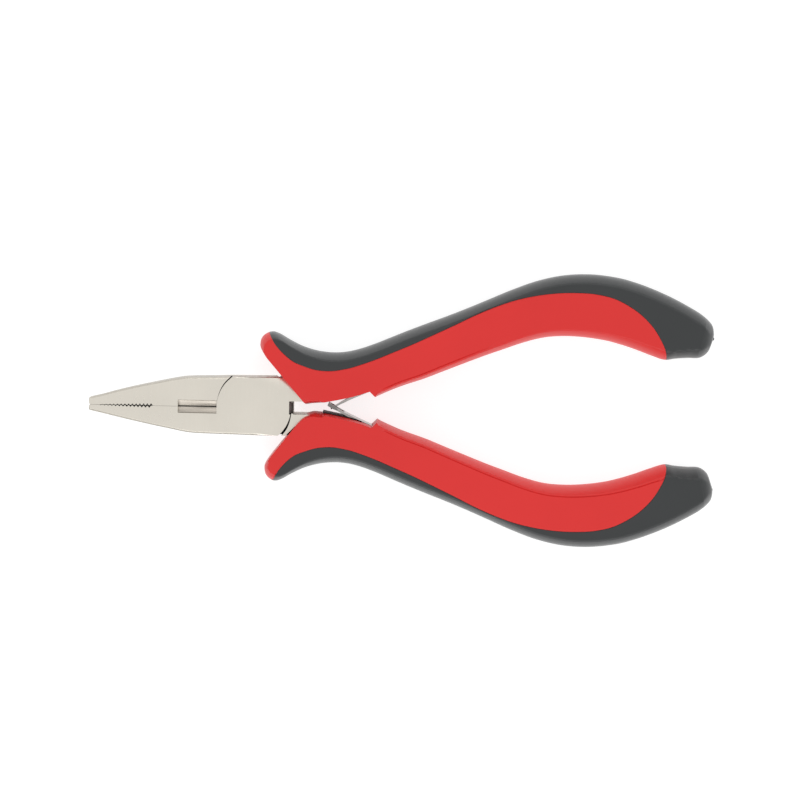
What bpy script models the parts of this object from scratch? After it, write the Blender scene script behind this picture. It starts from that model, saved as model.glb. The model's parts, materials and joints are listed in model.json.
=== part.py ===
"""Mini long-nose pliers with a side cutter, two-colour handles and crossed leaf springs.

Frame: metres, +Z up. The pliers lie flat: the jaws point to -X, the handles to +X, and the joint's
axis is parallel to Z. The origin is the bottom centre of the whole object's box.
Lengths below are in millimetres, measured from the joint's axis and from the middle of the
thickness; place() turns them into world metres.
"""
import math

import bmesh
import bpy
from mathutils import Matrix, Vector

MM = 0.001

# ---- driving dimensions, mm -------------------------------------------------
TIP_X = -33.0            # jaw tips
END_X = 91.92            # rear of the longer handle
OVERALL = END_X - TIP_X  # 125 mm class
HANDLE_T = 9.6           # thickness of the handles
FLARE_T = 8.6            # thickness of the finger guard at the front
JOINT_T = 6.4            # thickness of the steel at the joint
TIP_T = 2.7              # thickness of the jaws at the tip
JAW_W = 5.85             # half width of the steel at the joint
TIP_W = 1.3              # half width of the steel at the tip
TAPER_X = -9.5           # where the jaws begin to thin towards the tip
JOINT_R = 7.4            # radius of the lap joint's round shoulders
RIVET_R = 2.2            # joint rivet
PLATE_REAR = 7.85        # short nose of the plate between the tangs
PLATE_NOSE = 0.9         # and its half width
CLEAR = 0.3              # running clearance between separate pieces
LAP = 0.3                # clearance between the two laps
TOOTH_PITCH = 0.75
TOOTH_N = 14
TOOTH_X0 = -31.0         # first tooth
CUT_X0, CUT_X1 = -15.6, -7.4   # side cutter recess
CUT_W = 1.35
TANG_T = 4.4             # thickness of the tangs inside the handles
LEAF_T = 0.45            # thickness of the spring leaves
LEAF_W = 4.0             # width of the spring leaves
TONGUE_W = 1.3           # narrow end of the upper leaf, which passes through the lower one
SLOT_W = 2.1             # window in the lower leaf
LEAF_BAND = 0.55         # steel left at the free end of that window
RIB_Z = 2.0              # half height of the core's rib under the soft grip

X0 = (TIP_X + END_X) / 2
Z0 = HANDLE_T / 2

# Handle outline: matched points across the handle, inner side then outer side, from the front
# face to the butt. y is the distance from the closing line.
INNER = [
    (10.2, 0.70), (10.4, 0.72), (10.7, 0.74), (11.0, 0.76), (11.4, 0.78), (11.9, 0.82),
    (12.8, 0.90), (13.9, 1.00), (15.6, 1.32), (17.6, 1.72), (19.6, 2.18), (21.4, 2.70),
    (23.3, 3.34), (24.4, 2.25), (27.0, 3.45), (30.0, 4.66), (34.0, 6.02), (38.0, 7.62),
    (42.0, 9.21), (46.0, 10.78), (50.0, 12.23), (54.0, 13.63), (58.0, 14.64), (62.0, 14.94),
    (66.0, 14.76), (70.0, 14.21), (73.0, 13.47), (76.0, 12.52), (79.0, 11.42), (81.9, 10.50),
    (84.0, 10.74), (86.5, 10.92), (88.9, 11.00), (90.5, 12.10), (91.15, 13.7),
]
OUTER = [
    (2.1, 10.9), (1.6, 12.0), (1.75, 13.4), (2.5, 14.4), (3.8, 14.97), (5.3, 14.55),
    (7.4, 13.35), (10.0, 12.13), (13.0, 11.30), (16.0, 11.02), (18.4, 11.18), (20.2, 11.56),
    (21.5, 11.94), (22.5, 12.27), (24.6, 13.06), (26.8, 13.98), (30.5, 15.52), (34.3, 17.02),
    (38.4, 18.59), (42.7, 20.34), (47.0, 22.20), (51.4, 24.10), (56.4, 25.93), (61.6, 27.08),
    (67.0, 27.36), (72.4, 26.75), (76.3, 25.72), (79.6, 24.53), (82.6, 23.25), (85.1, 22.02),
    (87.2, 20.88), (89.0, 19.80), (90.5, 18.60), (91.4, 17.5), (91.7, 16.3),
]
# The line between the hard red core and the soft grey grip, on the faces of the handle.
SEAM = [
    (2.9, 16.5), (3.4, 14.6), (4.3, 13.0), (6.0, 10.98), (8.0, 9.37), (10.0, 8.54), (12.0, 7.90),
    (14.0, 7.62), (16.0, 7.64), (18.0, 7.98), (20.0, 8.47), (24.0, 9.89), (28.0, 11.58),
    (32.0, 13.31), (36.0, 15.20), (40.0, 17.12), (44.0, 19.10), (48.0, 20.82), (52.0, 22.22),
    (56.0, 23.14), (60.0, 23.68), (64.0, 23.83), (68.0, 23.58), (72.0, 22.56), (76.0, 20.30),
    (79.0, 17.50), (80.9, 14.60), (82.0, 12.00), (82.5, 9.00),
]
CORNERS = (12, 13)       # the spring recess ends in a ledge: sharp corners on the inner line
GRIP_FROM = 3.95         # station where the grip starts
CORE_TO = 28.55          # station where the core ends
SLIP = {1: -0.22, -1: 0.22}                      # the two handles are not quite level
GUARD = {1: (-0.35, 0.22), -1: (0.35, -0.22)}    # nor are their finger guards

# Middle line of the upper tang inside its handle, and its half width at each point.
TANG = [(6.5, 3.5, 2.0), (10.5, 3.9, 2.0), (14.0, 4.5, 1.75), (18.0, 5.3, 1.6), (22.0, 6.75, 1.5),
        (26.0, 7.9, 1.5), (32.0, 9.7, 1.5), (38.0, 12.3, 1.4), (44.0, 14.9, 1.2)]

# Spring leaves: hinge point in the handle, angle of the leaf to the closing line when closed, and
# length from the hinge point to the free end.
LEAF = {1: (22.6, 3.47, 27.0, 8.25), -1: (23.2, -3.50, 26.6, 9.45)}
LEAF_STUB = 1.0
LEAF_SWING = 28.0        # most that a leaf rocks in its handle


def place(x, y, z):
    return ((x - X0) * MM, y * MM, (z + Z0) * MM)


def catmull(p, t):
    """Point at parameter t on a smooth curve through the points p."""
    i = min(int(t), len(p) - 2)
    f = t - i
    a, b, c, d = p[max(i - 1, 0)], p[i], p[i + 1], p[min(i + 2, len(p) - 1)]
    return tuple(
        0.5 * (2 * b[k] + (c[k] - a[k]) * f + (2 * a[k] - 5 * b[k] + 4 * c[k] - d[k]) * f * f
               + (3 * b[k] - a[k] - 3 * c[k] + d[k]) * f ** 3)
        for k in range(len(b))
    )


def inner_at(u):
    """The inner line is three smooth runs: the spring recess, the ledge and the rest."""
    a, b = CORNERS
    if u <= a:
        return catmull(INNER[: a + 1], u)
    if u >= b:
        return catmull(INNER[b:], u - b)
    f = u - a
    return tuple(INNER[a][k] * (1 - f) + INNER[b][k] * f for k in range(2))


def cross(u, side):
    """(inner point, outer point) of the handle at station u."""
    s = SLIP[side]
    gx, gy = GUARD[side]
    fade = max(0.0, 1 - u / 7.0)
    fade = fade * fade * (3 - 2 * fade)
    ix, iy = inner_at(u)
    ox, oy = catmull(OUTER, u)
    return (ix + s, iy), (ox + s + gx * fade, oy + gy * fade)


def seam_at(u, side):
    """Distance from the inner point to the seam, along station u."""
    (ax, ay), (bx, by) = cross(u, side)
    s = SLIP[side]
    gx, gy = GUARD[side]
    line = []
    for k in range((len(SEAM) - 1) * 6 + 1):
        x, y = catmull(SEAM, k / 6)
        fade = max(0.0, 1 - max(x - 1.0, 0.0) / 9.0)
        fade = fade * fade * (3 - 2 * fade)
        line.append((x + s + gx * fade, y + gy * fade))
    w = math.hypot(bx - ax, by - ay)
    for (px, py), (qx, qy) in zip(line, line[1:]):
        ux, uy, vx, vy = bx - ax, by - ay, qx - px, qy - py
        den = ux * vy - uy * vx
        if abs(den) < 1e-12:
            continue
        f = ((px - ax) * vy - (py - ay) * vx) / den
        g = ((px - ax) * uy - (py - ay) * ux) / den
        if 0 <= f <= 1.02 and 0 <= g <= 1:
            return f * w
    return w


def thickness(u):
    """Half thickness of the handle at station u: less at the guard, rounded off at the butt."""
    front = min(u / 8.0, 1.0)
    front = front * front * (3 - 2 * front)
    h = (FLARE_T + (HANDLE_T - FLARE_T) * front) / 2
    if u > 31.0:
        f = (u - 31.0) / 3.0
        h *= 0.55 + 0.45 * math.sqrt(max(0.0, 1 - f * f))
    return h


def side_widths(u, w):
    """How far the bulging inner and outer sides reach in from the outline."""
    a = 0.8 + 1.3 * min(max((u - 14) / 16.0, 0.0), 1.0)
    b = 1.5 + 0.5 * min(max((u - 18) / 14.0, 0.0), 1.0)
    return min(a, 0.32 * w), min(b, 0.32 * w)


def top_z(t, w, h, a, b):
    """Height of the handle's skin at distance t across it."""
    for d, reach in ((t, a), (w - t, b)):
        if d < reach:
            r = (h * h + reach * reach) / (2 * reach)
            return math.sqrt(max(0.0, r * r - (r - max(d, 0.0)) ** 2))
    return h


ARC = (0.0, 0.10, 0.42, 1.0)


def section_points(t0, t1, w, h, a, b):
    """Positions across the section from t0 to t1, with the bulging sides sampled."""
    ts = []
    if t0 <= 0:
        ts += [f * min(a, t1 * 0.8) for f in ARC]
    else:
        ts.append(t0)
    if t1 >= w:
        ts += [w - f * min(b, (w - t0) * 0.8) for f in reversed(ARC)]
    else:
        ts.append(t1)
    return ts


def loop_core(u, side, full):
    """Closed section of the red core. Where the grip covers it, a rib runs under the grip."""
    (ax, ay), (bx, by) = cross(u, side)
    w = math.hypot(bx - ax, by - ay)
    h = thickness(u)
    a, b = side_widths(u, w)
    if full:
        return [(t, s * top_z(t, w, h, a, b)) for t, s in rim(section_points(0, w, w, h, a, b))]
    t = seam_at(u, side) - CLEAR / 2
    grey = w - t
    reach = max(0.5, min(grey - 2.2, 2.4))
    z = min(RIB_Z, 0.45 * top_z(t, w, h, a, b))
    pts = section_points(0, t, w, h, a, b)
    low = [(p, -top_z(p, w, h, a, b)) for p in pts]
    high = [(p, top_z(p, w, h, a, b)) for p in reversed(pts)]
    return low + [(t, -z), (t + reach, -z), (t + reach, z), (t, z)] + high[:-1]


def rim(ts):
    """Round the section: along the bottom, then back along the top, ends once."""
    return [(t, -1) for t in ts] + [(t, 1) for t in reversed(ts[1:-1])]


def loop_grip(u, side):
    """Closed section of the grip beside the core: a channel over the core's rib."""
    (ax, ay), (bx, by) = cross(u, side)
    w = math.hypot(bx - ax, by - ay)
    h = thickness(u)
    a, b = side_widths(u, w)
    t = seam_at(u, side)
    grey = w - (t - CLEAR / 2)
    reach = max(0.5, min(grey - 2.2, 2.4))
    z = min(RIB_Z, 0.45 * top_z(t - CLEAR / 2, w, h, a, b)) + CLEAR
    t += CLEAR / 2
    r = t + reach
    pts = section_points(t, w, w, h, a, b)
    low = [(p, -top_z(p, w, h, a, b)) for p in pts]
    high = [(p, top_z(p, w, h, a, b)) for p in reversed(pts)]
    return low + high[1:] + [(t, z), (r, z), (r, -z), (t, -z)], t


def loop_grip_full(u, side, share):
    """Full section of the grip behind the core. share is where the step's wall met it."""
    (ax, ay), (bx, by) = cross(u, side)
    w = math.hypot(bx - ax, by - ay)
    h = thickness(u)
    a, b = side_widths(u, w)
    t = share * w
    outer = section_points(t, w, w, h, a, b)
    inner = [f * min(a, 0.8 * t) for f in ARC]
    low = [(p, -top_z(p, w, h, a, b)) for p in outer]
    high = [(p, top_z(p, w, h, a, b)) for p in reversed(outer)]
    back_high = [(p, top_z(p, w, h, a, b)) for p in reversed(inner)]
    back_low = [(p, -top_z(p, w, h, a, b)) for p in inner[1:]]
    return low + high[1:] + back_high + back_low


def spread(u, side, loop):
    """Section points (across, height) put into the world."""
    (ax, ay), (bx, by) = cross(u, side)
    w = math.hypot(bx - ax, by - ay)
    dx, dy = (bx - ax) / w, (by - ay) / w
    return [Vector(place(ax + dx * t, side * (ay + dy * t), z)) for t, z in loop]


def solid(name, verts, faces, mat):
    mesh = bpy.data.meshes.new(name)
    mesh.from_pydata([tuple(v) for v in verts], [], faces)
    bm = bmesh.new()
    bm.from_mesh(mesh)
    bmesh.ops.recalc_face_normals(bm, faces=bm.faces)
    bmesh.ops.triangulate(bm, faces=[f for f in bm.faces if len(f.verts) > 4])
    bm.to_mesh(mesh)
    bm.free()
    obj = bpy.data.objects.new(name, mesh)
    bpy.context.scene.collection.objects.link(obj)
    if mat:
        mesh.materials.append(mat)
    return obj


def tube(verts, faces, rings):
    """Adds rings of points and the quads between them; gives each ring's indices."""
    index = []
    for ring in rings:
        index.append(list(range(len(verts), len(verts) + len(ring))))
        verts += ring
    for lo, hi in zip(index, index[1:]):
        n = len(lo)
        for k in range(n):
            faces.append((lo[k], lo[(k + 1) % n], hi[(k + 1) % n], hi[k]))
    return index


def stations(a, b):
    """Station numbers from a to b: every control point, and the two ends."""
    inside = [k for k in range(int(math.ceil(a)), int(math.floor(b)) + 1) if a < k < b]
    inside = [k for k in inside if k - a > 0.25 and b - k > 0.12]
    return [a] + inside + [b]


def handle(side, name_core, name_grip, red, grey):
    # Core: full section at the guard, then the part beside the grip, with its rib.
    verts, faces = [], []
    step = GRIP_FROM - 0.22
    front = [spread(u, side, loop_core(u, side, True)) for u in stations(0.0, step)]
    rear = [spread(u, side, loop_core(u, side, False)) for u in stations(step, CORE_TO)]
    i_front = tube(verts, faces, front)
    # The step's wall: the two sections share the inner side; the loop between them is one face.
    shared = len(ARC)                      # inner side points along the bottom
    i_rear = tube(verts, faces, rear)
    # Weld the shared inner points of the two rings at the step.
    weld = {}
    n_full, n_side = len(front[-1]), len(rear[0])
    for k in range(shared):
        weld[i_rear[0][k]] = i_front[-1][k]
    for k in range(1, shared):
        weld[i_rear[0][n_side - k]] = i_front[-1][n_full - k]
    faces = [tuple(weld.get(v, v) for v in f) for f in faces]
    wall_full = [i_front[-1][k] for k in range(shared - 1, n_full - shared + 2)]
    wall_side = [weld.get(v, v) for v in (i_rear[0][k] for k in range(shared - 1, n_side - shared + 2))]
    faces.append(tuple(wall_full + wall_side[-2:0:-1]))
    faces.append(tuple(reversed(i_front[0])))
    faces.append(tuple(i_rear[-1]))
    core = solid(name_core, verts, faces, red)
    drop_loose(core)

    # Grip: a channel beside the core, then the whole section behind it.
    verts, faces = [], []
    end = CORE_TO + 0.13
    rings, share = [], 0.0
    for u in stations(GRIP_FROM, end):
        loop, t = loop_grip(u, side)
        rings.append(spread(u, side, loop))
        (ax, ay), (bx, by) = cross(u, side)
        share = t / math.hypot(bx - ax, by - ay)
    i_side = tube(verts, faces, rings)
    i_full = tube(verts, faces,
                  [spread(u, side, loop_grip_full(u, side, share)) for u in stations(end, 34.0)])
    m = 2 * (len(ARC) + 1) - 1             # points shared by both rings: the outer side
    weld = {i_full[0][k]: i_side[-1][k] for k in range(m)}
    faces = [tuple(weld.get(v, v) for v in f) for f in faces]
    wall_full = [weld.get(i_full[0][k], i_full[0][k]) for k in range(m - 1, len(i_full[0]))] + [i_side[-1][0]]
    wall_side = [i_side[-1][k] for k in range(m, len(i_side[-1]))]
    faces.append(tuple(wall_full + wall_side[::-1]))
    faces.append(tuple(reversed(i_side[0])))
    faces.append(tuple(i_full[-1]))
    grip = solid(name_grip, verts, faces, grey)
    drop_loose(grip)
    return core, grip


def drop_loose(obj):
    bm = bmesh.new()
    bm.from_mesh(obj.data)
    bmesh.ops.delete(bm, geom=[v for v in bm.verts if not v.link_faces], context="VERTS")
    bmesh.ops.recalc_face_normals(bm, faces=bm.faces)
    bm.to_mesh(obj.data)
    bm.free()


def prism(name, outline, z0, z1, mat=None):
    """Outline in the plane, mm, made solid from z0 to z1."""
    n = len(outline)
    verts = [Vector(place(x, y, z0)) for x, y in outline] + [Vector(place(x, y, z1)) for x, y in outline]
    faces = [tuple(range(n - 1, -1, -1)), tuple(range(n, 2 * n))]
    faces += [(k, (k + 1) % n, (k + 1) % n + n, k + n) for k in range(n)]
    return solid(name, verts, faces, mat)


def boolean(obj, other, operation):
    mod = obj.modifiers.new(operation.lower(), "BOOLEAN")
    mod.operation = operation
    mod.solver = "EXACT"
    mod.object = other
    other.hide_render = True
    other.display_type = "WIRE"


def arc(cx, cy, r, a0, a1, n):
    return [(cx + r * math.cos(math.radians(a0 + (a1 - a0) * k / n)),
             cy + r * math.sin(math.radians(a0 + (a1 - a0) * k / n))) for k in range(n + 1)]


def teeth(sign):
    """The gripping edge of one jaw, from the tip to the joint: teeth fade towards the tip."""
    pts = []
    for k in range(TOOTH_N):
        x = TOOTH_X0 + k * TOOTH_PITCH
        h = 0.10 + 0.22 * k / (TOOTH_N - 1)
        pts.append((x, -h * sign))
        pts.append((x + TOOTH_PITCH / 2, h * sign))
    pts.append((TOOTH_X0 + TOOTH_N * TOOTH_PITCH, -0.32 * sign))
    return pts


def half_outline(sign):
    """Plan of one forged half, seen from its own front: jaw below the closing line, plate, tang."""
    gap = 0.1
    jaw = [(TIP_X + 0.35, -gap - 0.02), (TOOTH_X0 - 0.4, -gap)]
    jaw += [(x, y - gap - 0.02) for x, y in teeth(sign)]
    jaw += [(TOOTH_X0 + TOOTH_N * TOOTH_PITCH + 0.4, -gap), (-JOINT_R - 0.05, -gap)]
    front = arc(0, 0, JOINT_R, 180 - 0.8, 180 - math.degrees(math.asin(JAW_W / JOINT_R)), 7)
    (ix, iy), (ox, oy) = cross(0.0, 1)
    d = math.hypot(ox - ix, oy - iy)
    nx, ny = (oy - iy) / d, -(ox - ix) / d         # towards the handle
    back = CLEAR + 0.02

    def face_x(y):
        f = (y - iy) / (oy - iy)
        return ix + (ox - ix) * f - back / nx

    top = [(0.0, JAW_W + 0.1), (face_x(JAW_W + 0.1), JAW_W + 0.1), (face_x(1.3), 1.3), (PLATE_REAR, 1.3)]
    rear = [(PLATE_REAR, -PLATE_NOSE)] + arc(0, 0, JOINT_R, -9.5, -math.degrees(math.asin(JAW_W / JOINT_R)), 7)
    under = [(-9.0, -JAW_W), (-13.5, -5.55), (-20.4, -4.25), (-27.0, -2.75), (TIP_X + 0.5, -1.42),
             (TIP_X, -1.05), (TIP_X, -gap - 0.35)]
    return jaw + front + top + rear + under


def forged(name, mat, side):
    """One forged half: side 1 is the lower jaw and the upper handle's tang, -1 the other."""
    half = JOINT_T / 2
    body = prism(name, half_outline(side), -half, half, mat)
    tang = tang_prism(name + "_tang_shape", 0.0, TANG_T / 2, 44.0)
    boolean(body, tang, "UNION")
    # Room for the other half's round plate, and for the short nose behind it between the tangs.
    tab = math.degrees(math.asin((PLATE_NOSE + CLEAR / 2) / (JOINT_R + CLEAR)))
    lap = prism(name + "_lap_cut",
                arc(0, 0, JOINT_R + CLEAR, tab, 360 - tab, 56)
                + [(PLATE_REAR + CLEAR + 0.1, -PLATE_NOSE - CLEAR / 2), (PLATE_REAR + CLEAR + 0.1, PLATE_NOSE + CLEAR / 2)],
                -half - 1, LAP / 2)
    boolean(body, lap, "DIFFERENCE")
    bore = prism(name + "_bore_cut", arc(0, 0, RIVET_R + CLEAR, 0, 360, 28)[:-1],
                 -half - 1, half - 0.6 if side > 0 else half + 1)
    boolean(body, bore, "DIFFERENCE")
    for k, s in enumerate((1, -1)):
        # Jaw faces thin towards the tip.
        lift = (half - TIP_T / 2) / (TAPER_X - TIP_X)
        x_far = TIP_X - 2
        z_far = half - lift * (TAPER_X - x_far)
        cut = wedge(f"{name}_taper_cut_{k}", [(TAPER_X, s * half), (x_far, s * z_far), (x_far, s * 5.0),
                                              (TAPER_X, s * 5.0)], -8.0, 8.0)
        boolean(body, cut, "DIFFERENCE")
        # Flank of the side cutter.
        flank = yz_prism(f"{name}_cutter_cut_{k}", [(-CUT_W, s * 4.0), (-CUT_W, s * 2.9), (-0.16, s * 0.35),
                                                    (0.5, s * 0.35), (0.5, s * 4.0)], CUT_X0, CUT_X1)
        boolean(body, flank, "DIFFERENCE")
    if side < 0:
        turn = Matrix.Translation((0, 0, Z0 * MM)) @ Matrix.Rotation(math.pi, 4, "X") @ Matrix.Translation((0, 0, -Z0 * MM))
        turned = [m.object for m in body.modifiers] + [body]
        for obj in turned:
            obj.data.transform(turn)
    return body


def tang_prism(name, grow, half_z, end_x):
    """The tang inside the handle, grown by a clearance for the slot that takes it."""
    pts = [catmull(TANG, k / 2) for k in range(2 * (len(TANG) - 1) + 1)]
    left, right = [], []
    for k, (x, y, w) in enumerate(pts):
        a, b = pts[max(k - 1, 0)], pts[min(k + 1, len(pts) - 1)]
        d = math.hypot(b[0] - a[0], b[1] - a[1])
        nx, ny = -(b[1] - a[1]) / d, (b[0] - a[0]) / d
        e = w + grow
        left.append((x + nx * e, y + ny * e))
        right.append((x - nx * e, y - ny * e))
    tx, ty = pts[-1][0] - pts[-2][0], pts[-1][1] - pts[-2][1]
    d = math.hypot(tx, ty)
    nose = [(pts[-1][0] + tx / d * (0.8 + grow), pts[-1][1] + ty / d * (0.8 + grow))]
    return prism(name, right + nose + left[::-1], -half_z, half_z)


def wedge(name, outline_xz, y0, y1):
    n = len(outline_xz)
    verts = [Vector(place(x, y0, z)) for x, z in outline_xz] + [Vector(place(x, y1, z)) for x, z in outline_xz]
    faces = [tuple(range(n)), tuple(range(2 * n - 1, n - 1, -1))]
    faces += [(k, k + n, (k + 1) % n + n, (k + 1) % n) for k in range(n)]
    return solid(name, verts, faces, None)


def yz_prism(name, outline_yz, x0, x1):
    n = len(outline_yz)
    verts = [Vector(place(x0, y, z)) for y, z in outline_yz] + [Vector(place(x1, y, z)) for y, z in outline_yz]
    faces = [tuple(range(n)), tuple(range(2 * n - 1, n - 1, -1))]
    faces += [(k, k + n, (k + 1) % n + n, (k + 1) % n) for k in range(n)]
    return solid(name, verts, faces, None)


def slot_and_pocket(core, side):
    """The core takes its tang in a slot, and its spring leaf in a groove with a rocking pocket."""
    slot = tang_prism(core.name + "_slot_cut", CLEAR, TANG_T / 2 + CLEAR, 44.0)
    if side < 0:
        slot.data.transform(Matrix.Diagonal((1, -1, 1, 1)))
        flip(slot)
    boolean(core, slot, "DIFFERENCE")
    px, py, angle, length = LEAF[side]
    py = abs(py)
    g = LEAF_T / 2 + 0.35
    a = math.radians(angle)
    free = math.radians(angle + LEAF_SWING)

    def polar(r, t, off):
        """r along a line at angle t, off to its left, from the hinge point."""
        return (px + r * math.cos(t) - off * math.sin(t), py + r * math.sin(t) + off * math.cos(t))

    stub = LEAF_STUB + 0.35
    # Clockwise from the leaf's free side: groove for the closed leaf, room for the stub to rock,
    # and the free side where the leaf swings out.
    pts = [polar(-9.5, a, g), polar(-0.3, a, g)]
    pts += [polar(stub * 0.3, free, g), polar(stub, free, g), polar(stub, free, -g * 0.2),
            polar(stub, (a + free) / 2, 0), polar(stub, a, 0), polar(stub, a, -g)]
    pts += [polar(0.1, free, -g), polar(-4.0, free, -g), polar(-9.5, a, -6.0)]
    pocket = prism(core.name + "_pocket_cut", [(x, side * y) for x, y in pts],
                   -LEAF_W / 2 - 0.35, LEAF_W / 2 + 0.35)
    boolean(core, pocket, "DIFFERENCE")


def flip(obj):
    bm = bmesh.new()
    bm.from_mesh(obj.data)
    bmesh.ops.recalc_face_normals(bm, faces=bm.faces)
    bm.to_mesh(obj.data)
    bm.free()


def leaf(name, side, mat):
    """A strip of spring steel. The upper one ends in a tongue, the lower one in a window."""
    px, py, angle, length = LEAF[side]
    a = math.radians(angle)
    t = LEAF_T / 2

    def at(r, off, z):
        x = px - r * math.cos(a) - off * math.sin(a)
        y = abs(py) - r * math.sin(a) + off * math.cos(a)
        return Vector(place(x, side * y, z))

    w = LEAF_W / 2
    if side > 0:
        n = TONGUE_W / 2
        plan = [(-LEAF_STUB, -w), (4.6, -w), (5.4, -n), (length, -n), (length, n), (5.4, n),
                (4.6, w), (-LEAF_STUB, w)]
        verts = [at(r, -t, z) for r, z in plan] + [at(r, t, z) for r, z in plan]
        k = len(plan)
        faces = [tuple(range(k)), tuple(range(2 * k - 1, k - 1, -1))]
        faces += [(i, (i + 1) % k, (i + 1) % k + k, i + k) for i in range(k)]
        return solid(name, verts, faces, mat)
    n = SLOT_W / 2
    outer = [(-LEAF_STUB, -w), (5.9, -w), (length - LEAF_BAND, -w), (length, -w), (length, w),
             (length - LEAF_BAND, w), (5.9, w), (-LEAF_STUB, w)]
    hole = [(5.9, -n), (length - LEAF_BAND, -n), (length - LEAF_BAND, n), (5.9, n)]
    plan = outer + hole
    k = len(plan)
    verts = [at(r, -t, z) for r, z in plan] + [at(r, t, z) for r, z in plan]
    o = range(8)
    quads = [(0, 1, 8, 11, 6, 7), (1, 2, 9, 8), (2, 3, 4, 5, 10, 9), (5, 6, 11, 10)]
    faces = [q for q in quads] + [tuple(reversed([v + k for v in q])) for q in quads]
    faces += [(i, (i + 1) % 8, (i + 1) % 8 + k, i + k) for i in o]
    faces += [(i, i + k, (i + 1 if i < 11 else 8) + k, (i + 1 if i < 11 else 8)) for i in range(8, 12)]
    return solid(name, verts, faces, mat)


def material(name, colour, rough, metal):
    mat = bpy.data.materials.new(name)
    mat.use_nodes = True
    shader = mat.node_tree.nodes["Principled BSDF"]
    shader.inputs["Base Color"].default_value = (*colour, 1)
    shader.inputs["Roughness"].default_value = rough
    shader.inputs["Metallic"].default_value = metal
    return mat


def pivot_here(obj, x, y):
    """Puts the object's origin on its joint's axis."""
    at = Vector(place(x, y, 0))
    obj.data.transform(Matrix.Translation(-at))
    obj.location = at


def main():
    for obj in list(bpy.data.objects):
        bpy.data.objects.remove(obj, do_unlink=True)

    steel = material("nickel_plated_steel_a", (0.72, 0.68, 0.61), 0.28, 1.0)
    steel_b = material("nickel_plated_steel_b", (0.71, 0.67, 0.60), 0.28, 1.0)
    rivet_m = material("rivet_steel", (0.70, 0.66, 0.60), 0.25, 1.0)
    red_a = material("red_hard_plastic_a", (0.74, 0.042, 0.038), 0.38, 0.0)
    red_b = material("red_hard_plastic_b", (0.74, 0.042, 0.038), 0.38, 0.0)
    grey_a = material("grey_soft_grip_a", (0.068, 0.074, 0.076), 0.55, 0.0)
    grey_b = material("grey_soft_grip_b", (0.068, 0.074, 0.076), 0.55, 0.0)
    leaf_a = material("spring_steel_a", (0.55, 0.55, 0.56), 0.3, 1.0)
    leaf_b = material("spring_steel_b", (0.55, 0.55, 0.56), 0.3, 1.0)

    half_a = forged("jaw_half_lower", steel, 1)
    half_b = forged("jaw_half_upper", steel_b, -1)
    prism("pivot_rivet", arc(0, 0, RIVET_R, 0, 360, 28)[:-1], -JOINT_T / 2, JOINT_T / 2 - 0.6 - CLEAR, rivet_m)

    core_u, grip_u = handle(1, "handle_core_upper", "soft_grip_upper", red_a, grey_a)
    core_l, grip_l = handle(-1, "handle_core_lower", "soft_grip_lower", red_b, grey_b)
    slot_and_pocket(core_u, 1)
    slot_and_pocket(core_l, -1)

    leaf_u = leaf("spring_leaf_upper", 1, leaf_a)
    leaf_l = leaf("spring_leaf_lower", -1, leaf_b)
    pivot_here(leaf_u, LEAF[1][0], LEAF[1][1])
    pivot_here(leaf_l, LEAF[-1][0], LEAF[-1][1])

    bpy.context.view_layer.update()
    for obj in (half_a, half_b, core_u, core_l, grip_u, grip_l, leaf_u, leaf_l,
                bpy.data.objects["pivot_rivet"]):
        obj.data.shade_smooth()
        obj.data.set_sharp_from_angle(angle=math.radians(32))


main()
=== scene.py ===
"""Looks for the mini long-nose pliers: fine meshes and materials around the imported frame."""
import json
import math

import bmesh
import bpy
import numpy as np
from mathutils import Matrix, Vector

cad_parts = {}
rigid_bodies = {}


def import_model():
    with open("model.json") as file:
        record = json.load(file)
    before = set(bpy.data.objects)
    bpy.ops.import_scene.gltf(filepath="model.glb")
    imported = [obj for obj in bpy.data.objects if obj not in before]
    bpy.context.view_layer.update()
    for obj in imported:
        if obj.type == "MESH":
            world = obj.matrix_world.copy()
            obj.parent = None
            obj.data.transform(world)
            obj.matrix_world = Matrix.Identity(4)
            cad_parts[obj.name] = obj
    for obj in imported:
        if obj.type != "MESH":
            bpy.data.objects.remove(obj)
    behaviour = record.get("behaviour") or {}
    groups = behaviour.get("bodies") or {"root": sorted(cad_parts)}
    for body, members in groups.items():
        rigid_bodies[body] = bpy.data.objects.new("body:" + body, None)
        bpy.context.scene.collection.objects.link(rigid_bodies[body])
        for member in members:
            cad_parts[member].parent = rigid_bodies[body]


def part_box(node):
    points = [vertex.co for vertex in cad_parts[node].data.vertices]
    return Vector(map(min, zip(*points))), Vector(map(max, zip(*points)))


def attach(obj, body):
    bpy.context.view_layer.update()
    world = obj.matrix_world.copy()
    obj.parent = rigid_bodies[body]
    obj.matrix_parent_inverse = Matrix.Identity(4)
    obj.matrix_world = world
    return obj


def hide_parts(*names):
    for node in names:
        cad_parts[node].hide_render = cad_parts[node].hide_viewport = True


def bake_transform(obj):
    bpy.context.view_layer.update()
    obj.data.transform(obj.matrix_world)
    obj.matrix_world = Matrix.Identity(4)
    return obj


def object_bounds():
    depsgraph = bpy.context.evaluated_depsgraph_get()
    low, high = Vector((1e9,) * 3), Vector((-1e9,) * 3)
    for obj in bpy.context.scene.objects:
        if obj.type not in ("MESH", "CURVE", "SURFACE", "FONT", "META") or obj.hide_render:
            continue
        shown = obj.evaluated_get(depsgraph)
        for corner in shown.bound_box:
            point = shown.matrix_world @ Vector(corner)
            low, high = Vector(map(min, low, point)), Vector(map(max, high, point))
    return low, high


for obj in list(bpy.data.objects):
    bpy.data.objects.remove(obj, do_unlink=True)

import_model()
CAD_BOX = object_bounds()

MM = 0.001
lo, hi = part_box("pivot_rivet")
PIVOT_X = (lo[0] + hi[0]) / 2 / MM          # the joint's axis, in mm
lo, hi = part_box("handle_core_upper")
Z0 = (lo[2] + hi[2]) / 2 / MM               # middle of the thickness

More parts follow.
